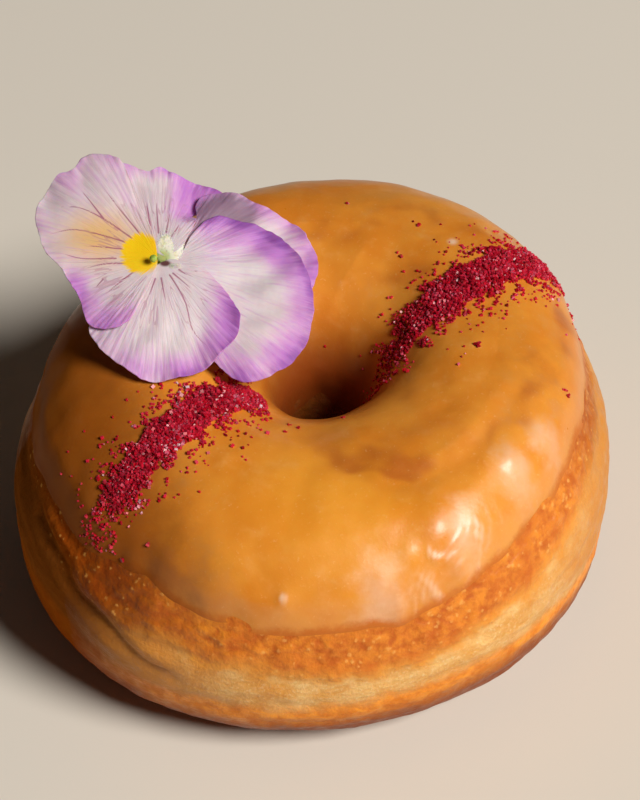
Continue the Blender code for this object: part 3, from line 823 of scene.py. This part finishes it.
def make_sugar(finish):
    """All the crystals in one piece, each a small turned and squashed cube on the glaze."""
    draw = random.Random(41)
    grains = crystal_places(draw)
    grains += [(x + draw.gauss(0, 0.15), y + draw.gauss(0, 0.15), 0.0, draw.uniform(0.1, 0.7))
               for x, y in STRAYS for _ in range(3)]
    grains += [(x, y, 0.0, 1.0) for x, y in PALE_STRAYS]
    theta, phi = top_angles(np.array([g[0] for g in grains]), np.array([g[1] for g in grains]))
    floors = glaze_face(theta, phi)
    kept = (phi > hem_angle(theta) + 0.05) & (phi < hole_angle(theta) - 0.3)
    whole = bmesh.new()
    tints = []
    batch = bmesh.new()
    for (_, _, heap, tint_and_sparkle), floor, fine in zip(grains, floors, kept):
        if not fine:
            continue
        size = draw.uniform(*CRYSTAL_SIZES) * draw.choice((0.8, 1.0, 1.0, 1.25))
        centre = Vector(floor) + Vector((0, 0, heap + 0.2 * size))
        turn = Euler([draw.uniform(0, TAU) for _ in range(3)]).to_matrix().to_4x4()
        squash = Matrix.Diagonal((1.0, draw.uniform(0.6, 1.0), draw.uniform(0.5, 0.95), 1.0))
        bmesh.ops.create_cube(batch, size=size, matrix=Matrix.Translation(centre) @ turn @ squash)
        tints += [tint_and_sparkle] * 8
        if len(batch.verts) > 800:
            pour(batch, whole)
            batch = bmesh.new()
    pour(batch, whole)
    piece = finish_piece(whole, "sugar_crystals", finish, outward=False)
    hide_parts("glaze")
    piece.data.shade_flat()
    mark(piece, "tint_and_sparkle", tints)
    return piece


def pour(batch, whole):
    """Adds one mesh to another, which keeps each batch of operators small."""
    mesh = bpy.data.meshes.new("batch")
    batch.to_mesh(mesh)
    batch.free()
    whole.from_mesh(mesh)
    bpy.data.meshes.remove(mesh)


# Flower
FLOWER = Matrix.Translation(THROAT) @ Matrix.Rotation(FLOWER_TILT, 4, "X")


def spline_points(points, shares):
    """Points on the smooth closed curve through the given points, shares from 0 to 1."""
    knots = np.array(points, float)
    count = len(knots)
    place = np.mod(shares, 1.0) * count
    step = place.astype(int) % count
    t = (place - np.floor(place))[:, None]
    return between(*(knots[(step + k) % count] for k in (-1, 0, 1, 2)), t)


def petal_height(u, v, layer):
    """Petals droop outwards with one soft wave, and each layer lies under the last."""
    out = np.hypot(u, v) / PETAL_REACH
    bend = -PETAL_DROOP * out ** 2 + PETAL_WAVE * out * np.sin(0.32 * u - 0.18 * v + 0.6)
    return bend - layer * PETAL_STEP


def pleat(u, v):
    """The upper side petal folds back behind its neighbour to the right of a short ridge."""
    return PLEAT_DEPTH * smooth((u - 1.2) / 3.4) * smooth((v - 6.8) / 3.2)


def around(angles, marks):
    """Values given at some directions in degrees, joined smoothly all the way round."""
    at = sorted(marks)
    degrees = np.degrees(angles) % 360
    first, last = at[0], at[-1]
    stops = [last[0] - 360] + [m[0] for m in at] + [first[0] + 360]
    values = [last[1]] + [m[1] for m in at] + [first[1]]
    return np.interp(degrees, stops, values)


# The yellow eye, and the mouth of the throat whose opening is painted shade, as ovals in the flower's
# plane
EYE_AT, EYE_SIZE = (-2.9, 1.4), (3.1, 3.5)
MOUTH_AT, MOUTH_SIZE = (0.75, 0.0), (1.0, 0.6)

# The petals in the flower's plane, in millimetres from the throat. An outline is a smooth closed
# curve. lilac gives the strength of the margin's colour at some directions from the middle. Some
# petals have veins, or patches of peach or shade, by place, reach and strength.
PETALS = {
    "petal_lip": dict(
        outline=((-0.4, 0.2), (-1.2, 4.9), (-3.7, 10.5), (-6.3, 17.2), (-9.5, 19.0), (-12.6, 18.5),
                 (-14.1, 16.3), (-17.0, 14.8), (-19.0, 10.6), (-19.4, 6.5), (-17.6, 1.8),
                 (-15.0, -1.4), (-12.4, -5.6), (-10.8, -9.8), (-7.7, -11.0), (-4.6, -9.7),
                 (-2.2, -5.5), (-0.9, -2.0)),
        middle=(-9.0, 3.5), layer=0, frill=0.55, frill_side=160, crease=0.05,
        lilac=((0, 0.1), (60, 0.15), (90, 0.4), (115, 0.42), (140, 0.2), (180, 0.22),
               (215, 0.2), (250, 0.8), (290, 0.8), (330, 0.2)),
        deep=0.1, peach=((-9.5, 4.2), 6.4, 0.85),
        veins=(((-3.0, 4.5), (-6.9, 9.6), (-9.4, 13.0)),
               ((-4.4, 4.0), (-8.9, 7.3), (-12.6, 9.2), (-16.0, 9.7)),
               ((-8.9, 7.3), (-11.4, 10.8), (-12.8, 12.7)),
               ((-5.5, 3.4), (-11.4, 5.2), (-14.4, 5.5), (-17.8, 4.7)),
               ((-5.2, 2.1), (-9.0, 2.5), (-11.9, 2.7)),
               ((-6.8, 0.6), (-11.9, 0.6), (-15.4, 1.5)),
               ((-5.2, -0.2), (-8.8, -0.4), (-11.9, -1.2)),
               ((-3.3, -1.2), (-6.4, -3.7), (-8.4, -5.5)),
               ((-8.7, -2.9), (-9.7, -4.1)))),
    "petal_side_upper": dict(
        outline=((0.2, 1.4), (3.0, 2.6), (4.4, 5.2), (5.4, 7.8), (4.5, 9.3), (7.5, 10.3),
                 (12.2, 11.6), (9.5, 13.2), (5.8, 15.1), (2.0, 15.9), (-0.4, 17.0), (-2.7, 16.3),
                 (-6.6, 17.2), (-6.0, 11.0), (-2.6, 4.5)),
        middle=(1.0, 11.0), layer=1, frill=0.4, frill_side=60, crease=0.08,
        lilac=((0, 0.95), (45, 1.0), (90, 0.8), (130, 0.4), (180, 0.1), (230, 0.05), (300, 0.35)),
        deep=0.5,
        veins=(((-1.6, 5.4), (-2.4, 11.0)), ((-0.4, 5.2), (-1.0, 11.4)), ((0.8, 5.3), (1.3, 9.0)),
               ((-2.4, 4.6), (-4.4, 9.5)), ((1.7, 4.6), (2.8, 6.6)))),
    "petal_side_lower": dict(
        outline=((0.4, 0.3), (2.7, 0.6), (6.6, -0.7), (9.2, -3.5), (12.0, -7.2), (12.3, -9.6),
                 (10.6, -13.4), (7.2, -17.0), (2.6, -18.5), (-1.5, -18.9), (-5.8, -16.7),
                 (-9.0, -13.4), (-10.6, -10.0), (-8.0, -6.5), (-3.5, -2.6)),
        middle=(1.5, -9.5), layer=1, frill=0.6, frill_side=-70, crease=0.1,
        lilac=((0, 0.95), (40, 0.5), (80, 0.1), (140, 0.1), (200, 0.45), (235, 0.55), (265, 0.75),
               (300, 0.85), (335, 1.0)),
        deep=0.65,
        veins=(((0.2, -2.5), (1.0, -6.5)), ((1.5, -2.0), (3.9, -6.2), (5.2, -10.9), (8.1, -13.9)),
               ((2.0, -1.7), (4.9, -4.3)), ((2.9, -1.1), (4.2, -2.0)), ((-0.7, -2.6), (-1.6, -5.6)))),
    "petal_back_left": dict(
        outline=((1.6, 2.6), (5.2, 7.6), (5.2, 11.4), (7.5, 13.0), (12.2, 12.6), (17.5, 10.1),
                 (21.6, 7.3), (24.1, 2.9), (24.2, -0.8), (22.0, -4.5), (15.0, -5.0), (6.5, -1.6)),
        middle=(14.0, 3.5), layer=3, frill=0.7, frill_side=50, crease=0.14,
        lilac=((0, 0.9), (30, 0.85), (70, 0.6), (110, 0.75), (150, 0.85), (200, 0.6), (250, 0.3)),
        deep=0.45, shade=((9.8, 9.3), 4.6, 1.1)),
    "petal_back_right": dict(
        outline=((0.9, 0.5), (3.0, 1.8), (5.0, 5.7), (8.0, 8.2), (13.0, 7.9), (18.0, 5.7),
                 (21.8, 1.4), (23.6, -4.5), (22.8, -11.3), (19.0, -16.2), (14.0, -18.6),
                 (9.5, -16.8), (5.5, -11.5), (1.9, -3.5)),
        middle=(13.0, -5.0), layer=2, frill=0.5, frill_side=-10, crease=0.2,
        lilac=((0, 1.0), (45, 1.1), (90, 1.2), (130, 1.05), (180, 0.1), (240, 0.4), (270, 0.8),
               (310, 0.95)),
        deep=0.75),
}


def within(u, v, middle, size):
    """How far out in an oval each place is, 1 on its rim."""
    return np.hypot((u - middle[0]) / size[0], (v - middle[1]) / size[1])


def counter_clockwise(points):
    area = sum(a[0] * b[1] - b[0] * a[1] for a, b in zip(points, points[1:] + points[:1]))
    return points if area > 0 else points[:1] + points[:0:-1]


def petal_grain(u, v, size, petal, seed):
    """Noise over a petal's plane, which differs between petals."""
    return grain(np.column_stack([u, v, np.full(len(u), 5.0 * petal)]), size, seed)


def make_petal(name, form, finish, seed):
    """One petal: a disc drawn out to its outline, bent and pleated, with a thin wall."""
    shape = bmesh.new()
    bmesh.ops.create_grid(shape, x_segments=PETAL_CELLS, y_segments=PETAL_CELLS, size=1)
    square = places_of(shape)[:, :2]
    a, b = square[:, 0], square[:, 1]
    disc = np.stack([a * np.sqrt(1 - b * b / 2), b * np.sqrt(1 - a * a / 2)], axis=1)
    turn = np.arctan2(disc[:, 1], disc[:, 0])
    reach = np.hypot(disc[:, 0], disc[:, 1])
    outline = counter_clockwise(form["outline"])
    centre = np.array(form["middle"])
    rim = spline_points(outline, turn / TAU)
    side = np.arctan2(rim[:, 1] - centre[1], rim[:, 0] - centre[0])
    from_throat = np.hypot(rim[:, 0], rim[:, 1])
    # The rim is slightly uneven, more so away from the throat
    rim_at = np.column_stack([rim, np.full(len(rim), 3.0 * seed)])
    uneven = 0.34 * grain(rim_at, 3.6, seed) + 0.13 * grain(rim_at, 1.1, seed)
    uneven = uneven * smooth((from_throat - 5) / 8) * reach ** 5
    stretch = reach + uneven / np.hypot(*(rim - centre).T)
    flat = centre + (rim - centre) * stretch[:, None]
    u, v = flat[:, 0], flat[:, 1]
    free_side = np.maximum(0.0, np.cos(side - math.radians(form["frill_side"])))
    lift = form["frill"] * reach ** 4 * free_side * (0.5 + 0.5 * np.sin(9 * turn))
    height = petal_height(u, v, form["layer"]) + lift
    # Fine pleats fan out from the throat and grow towards the rim
    angle = np.arctan2(v, u)
    away = np.hypot(u, v)
    fan = np.sin(70 * angle + 2.5 * np.sin(0.5 * away + seed)) + 0.6 * np.sin(113 * angle + seed)
    height = height + 0.026 * fan * smooth(away / 10) * (0.3 + reach ** 3)
    fold = np.sin(16 * angle + 3 * np.sin(0.25 * away + seed) + seed)
    height = height + form["crease"] * fold * smooth((away - 5) / 8)
    # Wide soft folds, and a crinkled free rim
    height = height + 0.22 * petal_grain(u, v, 6.0, seed, 2.0) * smooth(away / 6)
    crinkle = petal_grain(u, v, 2.0, seed, 4.0)
    height = height + 0.3 * crinkle * reach ** 8 * smooth((away - 6) / 8)
    if name == "petal_side_upper":
        height = height - pleat(u, v)
    move_all(shape, np.stack([u, v, height], axis=1))
    bmesh.ops.triangulate(shape, faces=shape.faces)
    bmesh.ops.transform(shape, matrix=FLOWER, verts=shape.verts)
    piece = finish_piece(shape, name + "_skin", finish, outward=False)
    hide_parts(name)
    mark_petal(piece, name, form, (u, v), (side, reach), seed)
    wall = piece.modifiers.new("wall", "SOLIDIFY")
    wall.thickness = PETAL_THICKNESS * 0.001
    wall.offset = 0.0
    return piece


def mark_petal(piece, name, form, plan, polar, seed):
    """Keeps what a petal's material reads: veins, margin, patches, eye, painted throat shade and
    streaks.

    plan is the places in the flower's plane, and polar their direction from the petal's middle and
    their share of the way from there to the rim.
    """
    u, v = plan
    side, reach = polar
    away = np.hypot(u, v)
    veins = form.get("veins", ())
    vein = np.zeros_like(u)
    for points in veins:
        vein = np.maximum(vein, near_line(u, v, open_curve(points, 12), 0.14, taper=0.7))
    veined = smooth((away - 2) / 2) * (1 - smooth((away - 7) / 9)) * bool(veins)
    mark(piece, "veined", veined)
    edge = around(side, form["lilac"]) * (1 + 0.65 * petal_grain(u, v, 5.5, seed, seed + 7.0))
    free = smooth((away - 4) / 8)
    lilac = edge * smooth((reach - 0.35) / 0.65) * free
    if name == "petal_side_upper":
        lilac = np.maximum(lilac, 0.9 * smooth((u + 0.8) / 4.5) * smooth((v - 5.0) / 5.0))
    mark(piece, "lilac", lilac)
    mark(piece, "deep", form["deep"] * edge * smooth((reach - 0.72) / 0.28) * free)
    mark(piece, "vein", vein)
    for patch in ("peach", "shade"):
        tone = np.zeros_like(u)
        if patch in form:
            (at_u, at_v), size, strength = form[patch]
            tone = strength * bump_at(np.hypot(u - at_u, (v - at_v) * 1.3), size)
        mark(piece, patch, tone)
    eye = np.zeros_like(u)
    if name == "petal_lip":
        eye = 1 - 0.5 * within(u, v, EYE_AT, EYE_SIZE) ** 2
    mark(piece, "eye", eye)
    # Painted shade: the throat's opening as a dark spot
    mark(piece, "painted_throat_shade", bump_at(within(u, v, MOUTH_AT, MOUTH_SIZE), 1.0))
    write_spread(piece, np.arctan2(v, u), away)


# A streak of a petal is this wide, at this distance from the throat, and this long
STREAK_WIDTH, STREAK_AT, STREAK_LENGTH = 0.45, 12, 8


def write_spread(piece, angle, away):
    """A UV map that runs round the throat and out from it, so that streaks follow the petal."""
    layer = piece.data.uv_layers.new(name="spread")
    across, along = angle * STREAK_AT / STREAK_WIDTH, away / STREAK_LENGTH
    corners = np.empty(len(piece.data.loops), dtype=np.int32)
    piece.data.loops.foreach_get("vertex_index", corners)
    flat = np.stack([across[corners], along[corners]], axis=1).astype(np.float32)
    layer.data.foreach_set("uv", flat.ravel())


STIGMA_RADIUS = 0.6
STIGMA_AT = Vector((-0.9, -0.2, 1.55))
# The cushions of down beside the throat: middle, and half sizes
DOWN_CUSHIONS = (((1.25, 3.0, -1.0), (2.3, 3.0, 0.34)), ((2.4, -0.5, -1.0), (1.2, 0.55, 0.32)))
# It is green near here: x, y, reach
GREEN_DOWN = (0.2, 0.9, 1.7)
HAIRS_PER_CUSHION = 420
HAIR_LENGTH, HAIR_RADIUS, HAIR_TIP_RADIUS = 0.3, 0.035, 0.015
# The calyx starts this far under the lowest petals' middle layer, and its stem ends at a height
CALYX_GAP = 0.575
STEM_END = -10.0
SEPALS = 5


def make_stigma(finish):
    shape = bmesh.new()
    bmesh.ops.create_uvsphere(shape, u_segments=28, v_segments=18, radius=STIGMA_RADIUS)
    for vertex in shape.verts:
        if vertex.co.z < 0:
            vertex.co.z *= 1.25
            vertex.co.x *= 0.75
    bmesh.ops.translate(shape, verts=shape.verts, vec=STIGMA_AT)
    bmesh.ops.transform(shape, matrix=FLOWER, verts=shape.verts)
    piece = finish_piece(shape, "stigma_bead", finish)
    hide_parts("stigma")
    return piece


def make_throat_down(finish):
    """Two soft white cushions of down beside the throat, each with short hairs all over."""
    draw = random.Random(9)
    shape = bmesh.new()
    for (x, y, z), (wide, long, high) in DOWN_CUSHIONS:
        cushion = bmesh.ops.create_uvsphere(shape, u_segments=20, v_segments=12, radius=1.0)
        bmesh.ops.scale(shape, verts=cushion["verts"], vec=(wide, long, high))
        bmesh.ops.translate(shape, verts=cushion["verts"], vec=(x, y, z))
        for _ in range(HAIRS_PER_CUSHION):
            turn, rise = draw.uniform(0, TAU), draw.uniform(0.1, 1.0)
            flat = math.sqrt(1 - rise * rise)
            out = Vector((flat * math.cos(turn), flat * math.sin(turn), rise))
            root = Vector((x + out.x * wide, y + out.y * long, z + out.z * high))
            tilt = out.to_track_quat("Z", "Y").to_matrix().to_4x4()
            place = Matrix.Translation(root) @ tilt @ Matrix.Translation((0, 0, HAIR_LENGTH / 3))
            bmesh.ops.create_cone(shape, segments=4, cap_ends=True, radius1=HAIR_RADIUS,
                                  radius2=HAIR_TIP_RADIUS, depth=HAIR_LENGTH, matrix=place)
    flat = places_of(shape)
    bmesh.ops.transform(shape, matrix=FLOWER, verts=shape.verts)
    piece = finish_piece(shape, "throat_down", finish, outward=False)
    mark(piece, "near_stigma", bump_near(*flat[:, :2].T, *GREEN_DOWN))
    return piece


def make_calyx(finish):
    """A turned cup on a stub of stem, with five narrow leaves that spread under the petals."""
    top = -(2 * PETAL_STEP + CALYX_GAP)
    profile = ((0.0, top), (1.9, top), (2.2, top - 0.7), (1.7, top - 2.3), (1.0, top - 3.8),
               (0.95, STEM_END), (0.0, STEM_END))
    shape = bmesh.new()
    rail = [shape.verts.new((x, 0, z)) for x, z in profile]
    edges = [shape.edges.new(pair) for pair in zip(rail, rail[1:])]
    bmesh.ops.spin(shape, geom=rail + edges, axis=(0, 0, 1), cent=(0, 0, 0), angle=TAU, steps=40,
                   use_merge=True)
    bmesh.ops.remove_doubles(shape, verts=shape.verts, dist=0.001)
    for k in range(SEPALS):
        leaf = bmesh.ops.create_uvsphere(shape, u_segments=20, v_segments=14, radius=1.0)["verts"]
        bmesh.ops.scale(shape, verts=leaf, vec=(2.6, 0.95, 0.32))
        bmesh.ops.translate(shape, verts=leaf, vec=(3.3, 0, 0))
        for vertex in leaf:
            out = vertex.co.x / 6
            vertex.co.y *= 1.25 - 0.7 * out
            vertex.co.z += top - 1.3 - 0.5 * out ** 2
        turn = Matrix.Rotation(TAU * (k + 0.25) / SEPALS, 3, "Z")
        bmesh.ops.rotate(shape, verts=leaf, matrix=turn)
    bmesh.ops.transform(shape, matrix=FLOWER, verts=shape.verts)
    piece = finish_piece(shape, "calyx_cup", finish)
    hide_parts("calyx")
    return piece


# Stage, light and camera
def make_floor():
    shape = bmesh.new()
    bmesh.ops.create_grid(shape, x_segments=1, y_segments=1, size=2.0)
    mesh = bpy.data.meshes.new("floor")
    shape.to_mesh(mesh)
    shape.free()
    made, _ = start_material("pale studio floor", Roughness=0.9, Base_Color=colour("#DED7CC"))
    mesh.materials.append(made)
    floor = new_object("floor", mesh)


def make_light(name, direction, distance, size, power_watts, tone):
    lamp = bpy.data.lights.new(name, "AREA")
    lamp.shape = "DISK"
    lamp.size = size
    lamp.energy = power_watts
    lamp.color = colour(tone)[:3]
    obj = new_object(name, lamp)
    away = Vector(direction).normalized()
    obj.location = away * distance + CAMERA_AIM * 0.001
    obj.rotation_euler = away.to_track_quat("Z", "Y").to_euler()


def make_camera():
    camera = bpy.data.cameras.new("camera")
    camera.lens = CAMERA_LENS
    camera.sensor_width = 36
    camera.clip_start = 0.01
    obj = new_object("camera", camera)
    back = Vector((0, -math.cos(CAMERA_RISE), math.sin(CAMERA_RISE)))
    obj.location = (CAMERA_AIM + back * CAMERA_DISTANCE) * 0.001
    obj.rotation_euler = (math.pi / 2 - CAMERA_RISE, 0, 0)
    bpy.context.scene.camera = obj


def make_world(tone, strength):
    """A plain even studio, seen with its colours as they are."""
    world = bpy.data.worlds.new("studio")
    world.use_nodes = True
    shade = world.node_tree.nodes["Background"]
    shade.inputs["Color"].default_value = colour(tone)
    shade.inputs["Strength"].default_value = strength
    bpy.context.scene.world = world
    bpy.context.scene.view_settings.view_transform = "Standard"


make_camera()
make_world(tone="#FFF0DC", strength=0.025)
make_light("key light", direction=(0.6, -0.43, 0.72), distance=2.8, size=1.1, power_watts=98.0,
           tone="#FFFAF3")
make_floor()

make_dough(make_dough_material())
make_glaze(make_glaze_material())
make_sugar(make_sugar_material())
petal_skin = make_petal_material()
for number, (petal_name, petal_form) in enumerate(PETALS.items(), start=1):
    make_petal(petal_name, petal_form, petal_skin, number)
green_skin = make_green_material()
make_stigma(green_skin)
make_throat_down(make_down_material())
make_calyx(green_skin)

bpy.context.view_layer.update()
